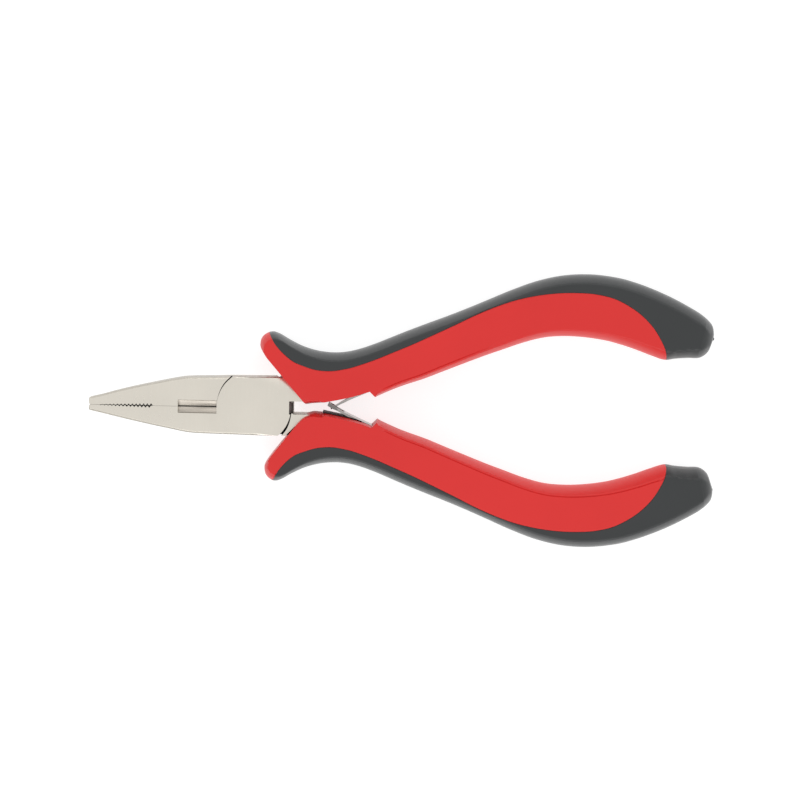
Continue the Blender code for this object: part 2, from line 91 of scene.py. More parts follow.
# ---- the design's dimensions, mm, as the CAD has them ----
TIP_X = -33.0
HANDLE_T, FLARE_T = 9.6, 8.6
JOINT_T, TIP_T = 6.4, 2.7
JAW_W = 5.85
TAPER_X = -9.5
JOINT_R = 7.4
RIVET_R = 2.2
PLATE_REAR, PLATE_NOSE = 7.85, 0.9
TOOTH_PITCH, TOOTH_N, TOOTH_X0 = 0.75, 14, -31.0
CUT_X0, CUT_X1, CUT_W = -15.6, -7.4, 1.35
TANG_T = 4.4
LEAF_T, LEAF_W, TONGUE_W, SLOT_W, LEAF_BAND = 0.45, 4.0, 1.3, 2.1, 0.55
RIB_Z = 2.0

INNER = [
    (10.2, 0.70), (10.4, 0.72), (10.7, 0.74), (11.0, 0.76), (11.4, 0.78), (11.9, 0.82),
    (12.8, 0.90), (13.9, 1.00), (15.6, 1.32), (17.6, 1.72), (19.6, 2.18), (21.4, 2.70),
    (23.3, 3.34), (24.4, 2.25), (27.0, 3.45), (30.0, 4.66), (34.0, 6.02), (38.0, 7.62),
    (42.0, 9.21), (46.0, 10.78), (50.0, 12.23), (54.0, 13.63), (58.0, 14.64), (62.0, 14.94),
    (66.0, 14.76), (70.0, 14.21), (73.0, 13.47), (76.0, 12.52), (79.0, 11.42), (81.9, 10.50),
    (84.0, 10.74), (86.5, 10.92), (88.9, 11.00), (90.5, 12.10), (91.15, 13.7),
]
OUTER = [
    (2.1, 10.9), (1.6, 12.0), (1.75, 13.4), (2.5, 14.4), (3.8, 14.97), (5.3, 14.55),
    (7.4, 13.35), (10.0, 12.13), (13.0, 11.30), (16.0, 11.02), (18.4, 11.18), (20.2, 11.56),
    (21.5, 11.94), (22.5, 12.27), (24.6, 13.06), (26.8, 13.98), (30.5, 15.52), (34.3, 17.02),
    (38.4, 18.59), (42.7, 20.34), (47.0, 22.20), (51.4, 24.10), (56.4, 25.93), (61.6, 27.08),
    (67.0, 27.36), (72.4, 26.75), (76.3, 25.72), (79.6, 24.53), (82.6, 23.25), (85.1, 22.02),
    (87.2, 20.88), (89.0, 19.80), (90.5, 18.60), (91.4, 17.5), (91.7, 16.3),
]
SEAM = [
    (2.9, 16.5), (3.4, 14.6), (4.3, 13.0), (6.0, 10.98), (8.0, 9.37), (10.0, 8.54), (12.0, 7.90),
    (14.0, 7.62), (16.0, 7.64), (18.0, 7.98), (20.0, 8.47), (24.0, 9.89), (28.0, 11.58),
    (32.0, 13.31), (36.0, 15.20), (40.0, 17.12), (44.0, 19.10), (48.0, 20.82), (52.0, 22.22),
    (56.0, 23.14), (60.0, 23.68), (64.0, 23.83), (68.0, 23.58), (72.0, 22.56), (76.0, 20.30),
    (79.0, 17.50), (80.9, 14.60), (82.0, 12.00), (82.5, 9.00),
]
# The lower handle shows its rounded front corner, the upper one its sharp one.
FRONT_CORNER = {1: {0: (10.68, 0.62), 1: (10.80, 0.65), 2: (11.0, 0.69), 3: (11.22, 0.73), 4: (11.52, 0.78)}, -1: {0: (8.35, 3.30), 1: (8.95, 2.52), 2: (9.55, 1.84), 3: (10.2, 1.33), 4: (11.0, 0.98)}}
CORNERS = (12, 13)
SLIP = {1: -0.22, -1: 0.22}
GUARD = {1: (-0.35, 0.22), -1: (0.35, -0.22)}
TANG = [(6.5, 3.5, 2.0), (10.5, 3.9, 2.0), (14.0, 4.5, 1.75), (18.0, 5.3, 1.6), (22.0, 6.75, 1.5),
        (26.0, 7.9, 1.5), (32.0, 9.7, 1.5), (38.0, 12.3, 1.4), (44.0, 14.9, 1.2)]
LEAF = {1: (22.6, 3.47, 27.0, 8.25), -1: (23.2, -3.50, 26.6, 9.45)}
LEAF_STUB, LEAF_SWING = 1.0, 28.0
BUTT_RIM = 2.7           # width of the rounded rim round the butt
SEAM_GAP = 0.05          # fine line between the two plastics
SEAM_EDGE = 0.10         # rounding of each plastic at the seam


def place(x, y, z):
    return ((x + PIVOT_X) * MM, y * MM, (z + Z0) * MM)


def catmull(p, t):
    i = min(int(t), len(p) - 2)
    f = t - i
    a, b, c, d = p[max(i - 1, 0)], p[i], p[i + 1], p[min(i + 2, len(p) - 1)]
    return tuple(
        0.5 * (2 * b[k] + (c[k] - a[k]) * f + (2 * a[k] - 5 * b[k] + 4 * c[k] - d[k]) * f * f
               + (3 * b[k] - a[k] - 3 * c[k] + d[k]) * f ** 3)
        for k in range(len(b))
    )


def smooth(f):
    f = min(max(f, 0.0), 1.0)
    return f * f * (3 - 2 * f)


INNER_OF = {s: [FRONT_CORNER[s].get(k, p) for k, p in enumerate(INNER)] for s in (1, -1)}


def inner_at(u, side):
    line = INNER_OF[side]
    a, b = CORNERS
    if u <= a:
        return catmull(line[: a + 1], u)
    if u >= b:
        return catmull(line[b:], u - b)
    f = u - a
    return tuple(line[a][k] * (1 - f) + line[b][k] * f for k in range(2))


def cross(u, side):
    s = SLIP[side]
    gx, gy = GUARD[side]
    fade = smooth(1 - u / 7.0)
    ix, iy = inner_at(u, side)
    ox, oy = catmull(OUTER, u)
    return (ix + s, iy), (ox + s + gx * fade, oy + gy * fade)


SEAM_LINE = {}
for _side in (1, -1):
    _line = []
    for _k in range((len(SEAM) - 1) * 16 + 1):
        _x, _y = catmull(SEAM, _k / 16)
        _f = smooth(1 - max(_x - 1.0, 0.0) / 9.0)
        _line.append((_x + SLIP[_side] + GUARD[_side][0] * _f, _y + GUARD[_side][1] * _f))
    SEAM_LINE[_side] = _line


def seam_at(u, side):
    (ax, ay), (bx, by) = cross(u, side)
    w = math.hypot(bx - ax, by - ay)
    line = SEAM_LINE[side]
    for (px, py), (qx, qy) in zip(line, line[1:]):
        ux, uy, vx, vy = bx - ax, by - ay, qx - px, qy - py
        den = ux * vy - uy * vx
        if abs(den) < 1e-12:
            continue
        f = ((px - ax) * vy - (py - ay) * vx) / den
        g = ((px - ax) * uy - (py - ay) * ux) / den
        if 0 <= f <= 1.0 and 0 <= g <= 1:
            return f * w
    return w if u < 15 else 0.0


def middle(u, side):
    (ax, ay), (bx, by) = cross(u, side)
    return (ax + bx) / 2, (ay + by) / 2


def thickness(u, side=1):
    """Half thickness. At the butt the flat face ends in a ridge, and a rounded rim runs round the end."""
    h = (FLARE_T + (HANDLE_T - FLARE_T) * smooth(u / 8.0)) / 2
    if u > 29.5:
        (x, y), (ex, ey) = middle(u, side), middle(34.0, side)
        d = min(math.hypot(ex - x, ey - y) + 0.35, BUTT_RIM)
        r = (h * h + BUTT_RIM * BUTT_RIM) / (2 * BUTT_RIM)
        h = math.sqrt(r * r - (r - d) ** 2)
    return h


def side_widths(u, w):
    a = 0.8 + 1.3 * min(max((u - 14) / 16.0, 0.0), 1.0)
    # The spring recess has a steep wall.
    a -= 0.5 * smooth((u - 6.6) / 0.7) * (1 - smooth((u - 12.9) / 0.5))
    b = 1.5 + 0.5 * min(max((u - 18) / 14.0, 0.0), 1.0)
    return min(a, 0.32 * w), min(b, 0.32 * w)


def edge_profile(reach, h, fillet, n_arc=7, n_fil=4):
    """Half of a bulging side: from the middle plane up over the crease to the flat face.
    Gives (distance in from the outline, height)."""
    r = (h * h + reach * reach) / (2 * reach)

    def d_at(z):
        return r - math.sqrt(max(r * r - z * z, 0.0))

    top_turn = math.asin(min(h / r, 1.0))
    fz = fillet * math.cos(top_turn * 0.5) * 0.9
    pts = []
    for k in range(n_arc + 1):
        z = (h - fz) * math.sin(math.pi / 2 * k / n_arc)
        pts.append((d_at(z), z))
    p0, p1, p2 = pts[-1], (reach, h), (reach + fillet, h)
    for k in range(1, n_fil + 1):
        f = k / n_fil
        pts.append(tuple((1 - f) ** 2 * p0[i] + 2 * f * (1 - f) * p1[i] + f * f * p2[i] for i in (0, 1)))
    return pts


N_ARC, N_FIL = 7, 4
N_ACROSS = 18
N_CREASE = 3             # points of the fine crease along the handle's inner side


class Section:
    """The handle's cross-section at one station."""

    def __init__(self, u, side):
        (self.ax, self.ay), (self.bx, self.by) = cross(u, side)
        self.u, self.side = u, side
        self.w = math.hypot(self.bx - self.ax, self.by - self.ay)
        self.h = thickness(u, side)
        a, b = side_widths(u, self.w)
        self.inner = edge_profile(a, self.h, min(0.22, a * 0.4), N_ARC, N_FIL)
        last, over = (17.0, 4.0) if side > 0 else (30.0, 1.5)
        t0, deep = self.inner[-1][0], 0.02 + 0.13 * smooth((u - 13.0) / 1.5) * (1 - smooth((u - last) / over))
        self.inner += [(t0 + 0.10, self.h - deep), (t0 + 0.14, self.h - deep), (t0 + 0.24, self.h)]
        self.outer = edge_profile(b, self.h, min(0.34, b * 0.3), N_ARC, N_FIL)
        self.skin = self.inner + [(self.w - d, z) for d, z in self.outer[::-1]]
        self.len = [0.0]
        for (t0, z0), (t1, z1) in zip(self.skin, self.skin[1:]):
            self.len.append(self.len[-1] + math.hypot(t1 - t0, z1 - z0))

    def top(self, t):
        """Height of the skin at distance t from the inner line."""
        for (t0, z0), (t1, z1) in zip(self.skin, self.skin[1:]):
            if t <= t1:
                f = (t - t0) / max(t1 - t0, 1e-9)
                return z0 + (z1 - z0) * min(max(f, 0.0), 1.0)
        return 0.0

    def along(self, t):
        """Length along the skin to distance t."""
        for k, ((t0, z0), (t1, z1)) in enumerate(zip(self.skin, self.skin[1:])):
            if t <= t1:
                f = min(max((t - t0) / max(t1 - t0, 1e-9), 0.0), 1.0)
                return self.len[k] + (self.len[k + 1] - self.len[k]) * f
        return self.len[-1]

    def at(self, s):
        for k in range(len(self.skin) - 1):
            if s <= self.len[k + 1]:
                f = (s - self.len[k]) / max(self.len[k + 1] - self.len[k], 1e-9)
                (t0, z0), (t1, z1) = self.skin[k], self.skin[k + 1]
                return (t0 + (t1 - t0) * f, z0 + (z1 - z0) * f)
        return self.skin[-1]

    def inner_skin(self, t1):
        """Up the inner side and across to t1, always the same number of points."""
        n = len(self.inner)
        s1 = self.along(t1)
        edge = self.len[n - 1]
        mid = s1 - max(s1 - edge, 0.16 * s1)
        side = [self.at(self.len[k] * mid / edge) for k in range(n)]
        return side + [self.at(mid + (s1 - mid) * k / N_ACROSS) for k in range(1, N_ACROSS + 1)]

    def outer_skin(self, t0):
        """From t0 across and down the outer side, always the same number of points."""
        n = len(self.inner)
        s0, end = self.along(t0), self.len[-1]
        edge = self.len[n]
        mid = s0 + max(edge - s0, 0.16 * (end - s0))
        side = [self.at(mid + (self.len[k] - edge) * (end - mid) / (end - edge)) for k in range(n, len(self.len))]
        return [self.at(s0 + (mid - s0) * k / N_ACROSS) for k in range(N_ACROSS)] + side

    def put(self, loop):
        dx, dy = (self.bx - self.ax) / self.w, (self.by - self.ay) / self.w
        return [place(self.ax + dx * t, self.side * (self.ay + dy * t), z) for t, z in loop]

    def rib(self):
        t = seam_at(self.u, self.side)
        grey = self.w - t
        reach = max(0.05, min(grey - 2.2, 2.4))
        z = min(RIB_Z, 0.45 * self.top(max(t, 0.2)))
        return t, reach, z


def both(half):
    """A half section, from the middle plane at its first point, joined to its mirror image."""
    return half + [(t, -z) for t, z in half[:0:-1]]


def core_full(u, side, share):
    s = Section(u, side)
    t = share * s.w
    half = s.inner_skin(t) + s.outer_skin(t)[1:]
    return s, half + [(p, -z) for p, z in half[-2:0:-1]]


def core_beside(u, side):
    s = Section(u, side)
    t, reach, z = s.rib()
    t1 = t - SEAM_GAP / 2
    te = max(t1 - SEAM_EDGE, 0.02)
    zt = s.top(te)
    edge = [(t1 - SEAM_EDGE * 0.3, zt - SEAM_EDGE * 0.3), (t1, zt - SEAM_EDGE)]
    return s, both(s.inner_skin(te) + edge + [(t1, z), (t1 + reach, z)]), te / s.w


def grip_beside(u, side):
    s = Section(u, side)
    t, reach, z = s.rib()
    t0 = t + SEAM_GAP / 2
    te = t0 + SEAM_EDGE
    zt = s.top(te)
    edge = [(t0, zt - SEAM_EDGE), (t0 + SEAM_EDGE * 0.3, zt - SEAM_EDGE * 0.3)]
    g = SEAM_GAP
    half = [(t0 + reach + g, z + g), (t0, z + g)] + edge + s.outer_skin(te)
    return s, half + [(p, -q) for p, q in half[-2::-1]], te / s.w


def grip_full(u, side, share):
    s = Section(u, side)
    t = share * s.w
    half = s.inner_skin(t) + s.outer_skin(t)[1:]
    return s, half + [(p, -z) for p, z in half[-2:0:-1]]


def new_object(name, verts, faces, mats, smooth_angle=32):
    mesh = bpy.data.meshes.new(name)
    mesh.from_pydata([tuple(v) for v in verts], [], faces)
    bm = bmesh.new()
    bm.from_mesh(mesh)
    bmesh.ops.delete(bm, geom=[v for v in bm.verts if not v.link_faces], context="VERTS")
    bmesh.ops.recalc_face_normals(bm, faces=bm.faces)
    bm.to_mesh(mesh)
    bm.free()
    obj = bpy.data.objects.new(name, mesh)
    bpy.context.scene.collection.objects.link(obj)
    for m in mats:
        mesh.materials.append(m)
    if smooth_angle:
        mesh.shade_smooth()
        mesh.set_sharp_from_angle(angle=math.radians(smooth_angle))
    return obj


BOX_X = CAD_BOX[1][0] - 2e-6
BOX_Y = CAD_BOX[1][1] - 2e-6


def inside(p):
    """The point, kept in the object's box."""
    return (min(max(p[0], -BOX_X), BOX_X), min(max(p[1], -BOX_Y), BOX_Y), p[2])


def tube(verts, faces, rings):
    rings = [[inside(p) for p in ring] for ring in rings]
    index = []
    for ring in rings:
        index.append(list(range(len(verts), len(verts) + len(ring))))
        verts += ring
    for a, b in zip(index, index[1:]):
        n = len(a)
        for k in range(n):
            faces.append((a[k], a[(k + 1) % n], b[(k + 1) % n], b[k]))
    return index


def steps(runs):
    """Station numbers from runs of (start, end, count)."""
    out = []
    for a, b, n in runs:
        out += [a + (b - a) * k / n for k in range(n)]
    return out + [runs[-1][1]]


def shrink(s, loop, f):
    """The loop drawn in by f all round, for a rounded end."""
    c = s.w / 2
    return [(c + (t - c) * (1 - 2 * f / s.w), z * (1 - f / s.h)) for t, z in loop]


def width_station(side, want, lo_u, hi_u, grip):
    """Station where the grip, growing, or the core, shrinking, is want wide."""
    for _ in range(40):
        m = (lo_u + hi_u) / 2
        s = Section(m, side)
        t = seam_at(m, side)
        value = s.w - t if grip else t
        if (value < want) == grip:
            lo_u = m
        else:
            hi_u = m
    return (lo_u + hi_u) / 2


def join_rings(faces, weld, full, part, m_full, m_part):
    """Returns the faces with each vertex replaced through the weld map."""
    return [tuple(weld.get(v, v) for v in f) for f in faces]


def build_core(side, name, mat):
    start = width_station(side, 0.32, 2.6, 5.0, True)
    end = width_station(side, 0.45, 27.5, 29.4, False)
    s, beside, share = core_beside(start, side)
    verts, faces, rings = [], [], []
    for f, u in ((0.26, 0.0), (0.13, 0.02), (0.05, 0.06), (0.01, 0.12)):
        s, loop = core_full(u, side, share)
        rings.append(s.put(shrink(s, loop, f)))
    for u in steps([(0.20, 2.0, 18), (2.0, start, 26)]):
        s, loop = core_full(u, side, share)
        rings.append(s.put(loop))
    i_front = tube(verts, faces, rings)
    rings = []
    stations = steps([(start, 4.3, 60), (4.3, 7.0, 30), (7.0, 11.9, 40), (11.9, 13.1, 12),
                      (13.1, 26.0, 110), (26.0, end, 50)])
    for u in stations:
        s, loop, _ = core_beside(u, side)
        rings.append(s.put(loop))
    i_rear = tube(verts, faces, rings)
    m = N_ARC + 1 + N_FIL + N_CREASE + N_ACROSS          # points of the shared skin on one half
    a, b = i_front[-1], i_rear[0]
    weld = {b[k]: a[k] for k in range(m)}
    weld.update({b[len(b) - k]: a[len(a) - k] for k in range(1, m)})
    faces = [tuple(weld.get(v, v) for v in f) for f in faces]
    wall = [a[k] for k in range(m - 1, len(a) - m + 2)]
    wall += [b[k] for k in range(len(b) - m, m - 1, -1)]
    faces.append(tuple(wall))
    faces.append(tuple(reversed(i_front[0])))
    faces.append(tuple(i_rear[-1]))
    return new_object(name, verts, faces, [mat]), start, end


def build_grip(side, name, mat, start, end):
    verts, faces, rings = [], [], []
    u0 = start + 0.012
    shares = 0.0
    stations = steps([(u0, 4.3, 60), (4.3, 7.0, 30), (7.0, 13.0, 40), (13.0, 26.0, 100), (26.0, end + 0.01, 50)])
    for u in stations:
        s, loop, shares = grip_beside(u, side)
        rings.append(s.put(loop))
    i_side = tube(verts, faces, rings)
    rings = []
    for u in steps([(end + 0.01, 31.0, 50), (31.0, 32.0, 50), (32.0, 33.4, 30), (33.4, 34.0, 14)]):
        s, loop = grip_full(u, side, shares)
        rings.append(s.put(loop))
    # The butt is domed: a few rings drawn in, a little further back each time.
    s, loop = grip_full(34.0, side, shares)
    for f, back in ((0.25, 0.10), (0.6, 0.18), (0.95, 0.22)):
        out = shrink(s, loop, f)
        pts = s.put(out)
        rings.append([(x + back * MM * 0.6, y, z) for x, y, z in pts])
    i_full = tube(verts, faces, rings)
    m = N_ARC + 1 + N_FIL + N_ACROSS
    n_s, n_f = len(i_side[-1]), len(i_full[0])
    a, b = i_side[-1], i_full[0]
    # Outer skin of both: in the side ring it starts after 4 points, in the full ring at first.
    span, first = 2 * m - 1, m - 1 + N_CREASE
    weld = {b[first + k]: a[4 + k] for k in range(span)}
    faces = [tuple(weld.get(v, v) for v in f) for f in faces]
    wall = [weld.get(b[(first + span - 1 + k) % n_f], b[(first + span - 1 + k) % n_f])
            for k in range(n_f - span + 2)]
    wall += [a[k % n_s] for k in range(3, 3 - (n_s - span) , -1)]
    faces.append(tuple(wall))
    faces.append(tuple(reversed(i_side[0])))
    faces.append(tuple(i_full[-1]))
    grip = new_object(name, verts, faces, [mat])
    # Where the stations turn about one point, its copies become one.
    bm = bmesh.new()
    bm.from_mesh(grip.data)
    bmesh.ops.remove_doubles(bm, verts=bm.verts, dist=6e-7)
    bm.to_mesh(grip.data)
    bm.free()
    return grip


# ---- plain solids and Booleans ----

def prism(name, outline, z0, z1, mats=()):
    n = len(outline)
    verts = [place(x, y, z0) for x, y in outline] + [place(x, y, z1) for x, y in outline]
    faces = [tuple(range(n - 1, -1, -1)), tuple(range(n, 2 * n))]
    faces += [(k, (k + 1) % n, (k + 1) % n + n, k + n) for k in range(n)]
    return new_object(name, verts, faces, mats, 0)


def side_prism(name, outline_yz, x0, x1, mats=()):
    """Outline in the YZ plane, made solid from x0 to x1."""
    n = len(outline_yz)
    verts = [place(x0, y, z) for y, z in outline_yz] + [place(x1, y, z) for y, z in outline_yz]
    faces = [tuple(range(n)), tuple(range(2 * n - 1, n - 1, -1))]
    faces += [(k, k + n, (k + 1) % n + n, (k + 1) % n) for k in range(n)]
    return new_object(name, verts, faces, mats, 0)


def apply(obj, cutters, operation="DIFFERENCE"):
    """Cuts (or joins) the others and leaves a plain mesh."""
    for other in cutters:
        mod = obj.modifiers.new("cut", "BOOLEAN")
        mod.operation = operation
        mod.solver = "EXACT"
        mod.material_mode = "TRANSFER"
        mod.object = other
        bpy.context.view_layer.update()
        done = bpy.data.meshes.new_from_object(obj.evaluated_get(bpy.context.evaluated_depsgraph_get()))
        obj.modifiers.clear()
        old = obj.data
        obj.data = done
        bpy.data.meshes.remove(old)
        bpy.data.objects.remove(other, do_unlink=True)
    return obj


def arc(cx, cy, r, a0, a1, n):
    return [(cx + r * math.cos(math.radians(a0 + (a1 - a0) * k / n)),
             cy + r * math.sin(math.radians(a0 + (a1 - a0) * k / n))) for k in range(n + 1)]


def tang_prism(name, grow, half_z, end_x, mats=()):
    pts = [catmull(TANG, k / 3) for k in range(3 * (len(TANG) - 1) + 1)]
    left, right = [], []
    for k, (x, y, w) in enumerate(pts):
        a, b = pts[max(k - 1, 0)], pts[min(k + 1, len(pts) - 1)]
        d = math.hypot(b[0] - a[0], b[1] - a[1])
        nx, ny = -(b[1] - a[1]) / d, (b[0] - a[0]) / d
        e = w + grow
        left.append((x + nx * e, y + ny * e))
        right.append((x - nx * e, y - ny * e))
    tx, ty = pts[-1][0] - pts[-2][0], pts[-1][1] - pts[-2][1]
    d = math.hypot(tx, ty)
    nose = [(pts[-1][0] + tx / d * (0.8 + grow), pts[-1][1] + ty / d * (0.8 + grow))]
    return prism(name, right + nose + left[::-1], -half_z, half_z, mats)


def mirror_y(obj):
    obj.data.transform(Matrix.Diagonal((1, -1, 1, 1)))
    obj.data.flip_normals()


def pocket_prism(side):
    """Groove for the closed leaf, and room for its root to rock."""
    px, py, angle, length = LEAF[side]
    py = abs(py)
    g = LEAF_T / 2 + 0.30
    a = math.radians(angle)
    free = math.radians(angle + LEAF_SWING)

    def polar(r, t, off):
        return (px + r * math.cos(t) - off * math.sin(t), py + r * math.sin(t) + off * math.cos(t))

    stub = LEAF_STUB + 0.35
    pts = [polar(-9.5, a, g), polar(-0.3, a, g), polar(stub * 0.3, free, g), polar(stub, free, g),
           polar(stub, free, -g * 0.2), polar(stub, (a + free) / 2, 0), polar(stub, a, 0),
           polar(stub, a, -g), polar(0.1, free, -g), polar(-4.0, free, -g), polar(-9.5, a, -6.0)]
    return prism("pocket_cut", [(x, side * y) for x, y in pts], -LEAF_W / 2 - 0.3, LEAF_W / 2 + 0.3)


def xz_prism(name, outline_xz, y0, y1, mats=()):
    n = len(outline_xz)
    verts = [place(x, y0, z) for x, z in outline_xz] + [place(x, y1, z) for x, z in outline_xz]
    faces = [tuple(range(n)), tuple(range(2 * n - 1, n - 1, -1))]
    faces += [(k, k + n, (k + 1) % n + n, (k + 1) % n) for k in range(n)]
    return new_object(name, verts, faces, mats, 0)


# ---- materials ----

class Nodes:
    """A material's node tree, with short ways to add and link nodes."""

    def __init__(self, name):
        self.mat = bpy.data.materials.new(name)
        self.mat.use_nodes = True
        self.tree = self.mat.node_tree
        self.bsdf = self.tree.nodes["Principled BSDF"]
        self.coord = self.add("ShaderNodeTexCoord")
        self.grime = None

    def add(self, kind, **values):
        node = self.tree.nodes.new(kind)
        for key, value in values.items():
            if hasattr(node, key) and key not in node.inputs:
                setattr(node, key, value)
            else:
                node.inputs[key].default_value = value
        return node

    def link(self, a, b):
        self.tree.links.new(a, b)

    def noise(self, scale, detail=4.0, rough=0.55, stretch=(1, 1, 1), turn=(0, 0, 0)):
        place_it = self.add("ShaderNodeMapping")
        place_it.inputs["Scale"].default_value = stretch
        place_it.inputs["Rotation"].default_value = turn
        self.link(self.coord.outputs["Object"], place_it.inputs["Vector"])
        tex = self.add("ShaderNodeTexNoise")
        tex.inputs["Scale"].default_value = scale
        tex.inputs["Detail"].default_value = detail
        tex.inputs["Roughness"].default_value = rough
        self.link(place_it.outputs["Vector"], tex.inputs["Vector"])
        return tex.outputs["Fac"]

    def ramp(self, source, lo, hi, to_lo, to_hi):
        node = self.add("ShaderNodeMapRange")
        node.inputs["From Min"].default_value = lo
        node.inputs["From Max"].default_value = hi
        node.inputs["To Min"].default_value = to_lo
        node.inputs["To Max"].default_value = to_hi
        self.link(source, node.inputs["Value"])
        return node.outputs["Result"]

    def mix(self, factor, a, b):
        node = self.add("ShaderNodeMix", data_type="RGBA")
        self.link(factor, node.inputs["Factor"])
        for k, value in ((6, a), (7, b)):
            if isinstance(value, tuple):
                node.inputs[k].default_value = (*value, 1)
            else:
                self.link(value, node.inputs[k])
        return node.outputs[2]

    def sum(self, a, b, op="ADD"):
        node = self.add("ShaderNodeMath", operation=op)
        for k, value in ((0, a), (1, b)):
            if isinstance(value, float):
                node.inputs[k].default_value = value
            else:
                self.link(value, node.inputs[k])
        return node.outputs[0]

    def bump(self, height, distance, strength):
        node = self.add("ShaderNodeBump")
        node.inputs["Distance"].default_value = distance
        node.inputs["Strength"].default_value = strength
        self.link(height, node.inputs["Height"])
        self.link(node.outputs["Normal"], self.bsdf.inputs["Normal"])

    def set(self, **values):
        for key, value in values.items():
            socket = self.bsdf.inputs[key.replace("_", " ")]
            if isinstance(value, bpy.types.NodeSocket):
                self.link(value, socket)
            elif isinstance(value, tuple):
                socket.default_value = (*value, 1)
            else:
                socket.default_value = value


def tint(colour, f):
    return tuple(c * f for c in colour)


def nickel(name, colour, rough=0.30, depth=1.0, dark=0.965):
    """Satin nickel over ground steel: fine grain across the jaws and faint clouding."""
    n = Nodes(name)
    grain = n.noise(1500, 4.0, 0.65, stretch=(1.0, 0.10, 0.10))
    fine = n.noise(3800, 3.0, 0.6)
    cloud = n.noise(90, 5.0, 0.6)
    tone = n.mix(n.ramp(cloud, 0.3, 0.7, 0.0, 1.0), tint(colour, dark), tint(colour, 1.0))
    tone = n.mix(n.ramp(grain, 0.35, 0.75, 0.0, 0.35), tone, tint(colour, 0.90))
    n.set(Base_Color=tone, Metallic=1.0,
          Roughness=n.sum(n.ramp(grain, 0.3, 0.7, rough - 0.04, rough + 0.05), n.ramp(cloud, 0.3, 0.7, -0.02, 0.04)))
    n.bump(n.sum(grain, n.sum(fine, 0.5, "MULTIPLY")), 0.000008 * depth, 0.22)
    return n.mat


def painted_shade_steel(name, colour, rough=0.55):
    """Recesses and shaded spots: unpolished steel whose dark base colour is painted shade, standing in for the shade
    that falls there, with a mottled tone.
    """
    n = Nodes(name)
    a = n.noise(700, 5.0, 0.65)
    b = n.noise(160, 3.0, 0.5)
    tone = n.mix(n.ramp(a, 0.3, 0.7, 0.0, 1.0), tint(colour, 0.7), tint(colour, 1.25))
    n.set(Base_Color=tone, Metallic=0.6, Roughness=n.ramp(b, 0.3, 0.7, rough - 0.08, rough + 0.1))
    n.bsdf.inputs["Specular IOR Level"].default_value = 0.25
    n.bump(a, 0.00003, 0.5)
    return n.mat


def ground_flank(name, colour, rough=0.42):
    """The cutter's flanks: grinding lines along the edge."""
    n = Nodes(name)
    lines = n.noise(700, 3.0, 0.6, stretch=(0.04, 1.6, 1.6))
    cloud = n.noise(260, 3.0, 0.5)
    tone = n.mix(n.ramp(lines, 0.35, 0.65, 0.0, 1.0), tint(colour, 0.72), tint(colour, 1.08))
    n.set(Base_Color=tone, Metallic=1.0, Roughness=n.ramp(cloud, 0.3, 0.7, rough - 0.05, rough + 0.06))
    n.bump(lines, 0.00003, 0.5)
    return n.mat


def red_plastic(name, colour):
    n = Nodes(name)
    fine = n.noise(2600, 3.0, 0.6)
    cloud = n.noise(55, 4.0, 0.55)
    tone = n.mix(n.ramp(cloud, 0.3, 0.7, 0.0, 1.0), tint(colour, 0.965), tint(colour, 1.02))
    n.set(Base_Color=tone, Metallic=0.0, Roughness=n.ramp(cloud, 0.3, 0.7, 0.36, 0.44))
    n.bsdf.inputs["Specular IOR Level"].default_value = 0.36
    n.bump(fine, 0.000012, 0.25)
    return n.mat


def grey_rubber(name, colour):
    n = Nodes(name)
    fine = n.noise(1900, 4.0, 0.6)
    cloud = n.noise(48, 4.0, 0.55)
    tone = n.mix(n.ramp(cloud, 0.3, 0.7, 0.0, 1.0), tint(colour, 0.93), tint(colour, 1.05))
    n.set(Base_Color=tone, Metallic=0.0, Roughness=n.ramp(fine, 0.3, 0.7, 0.40, 0.48))
    n.bsdf.inputs["Specular IOR Level"].default_value = 0.50
    n.bsdf.inputs["Sheen Weight"].default_value = 0.42
    n.bsdf.inputs["Sheen Roughness"].default_value = 0.35
    n.bump(fine, 0.00002, 0.35)
    return n.mat


def spring_steel(name, colour):
    n = Nodes(name)
    lines = n.noise(1500, 2.0, 0.5, stretch=(1.0, 1.0, 0.08))
    cloud = n.noise(400, 3.0, 0.5)
    tone = n.mix(n.ramp(cloud, 0.3, 0.7, 0.0, 1.0), tint(colour, 0.85), tint(colour, 1.05))
    n.set(Base_Color=tone, Metallic=1.0, Roughness=n.ramp(lines, 0.3, 0.7, 0.24, 0.34))
    n.bump(lines, 0.00001, 0.3)
    return n.mat


NICKEL = (0.86, 0.812, 0.722)
RED = (0.70, 0.026, 0.024)
GREY = (0.027, 0.0295, 0.0305)

STEEL = nickel("nickel_plated_steel", NICKEL)
# Darker copies of the nickel for the sides and the rounded edges: painted shade, where the light falls off.
SIDE_SHADE_NICKEL = nickel("nickel_side_painted_shade", (0.50, 0.47, 0.415), 0.42)
LOWER_EDGE_SHADE_NICKEL = nickel("nickel_edge_lower_painted_deep_shade", (0.38, 0.355, 0.31), 0.38)
UPPER_EDGE_SHADE_NICKEL = nickel("nickel_edge_upper_painted_shade", (0.66, 0.62, 0.545), 0.36)
# Near-black steel for recesses and gaps: painted shade.
RECESS_SHADE_STEEL = painted_shade_steel("steel_recess_painted_shade", (0.020, 0.019, 0.017))
# Dark steel for the nose chamfer: painted shade for the shadowed step.
NOSE_SHADE_STEEL = painted_shade_steel("steel_nose_chamfer_painted_shade", (0.17, 0.16, 0.145), 0.5)
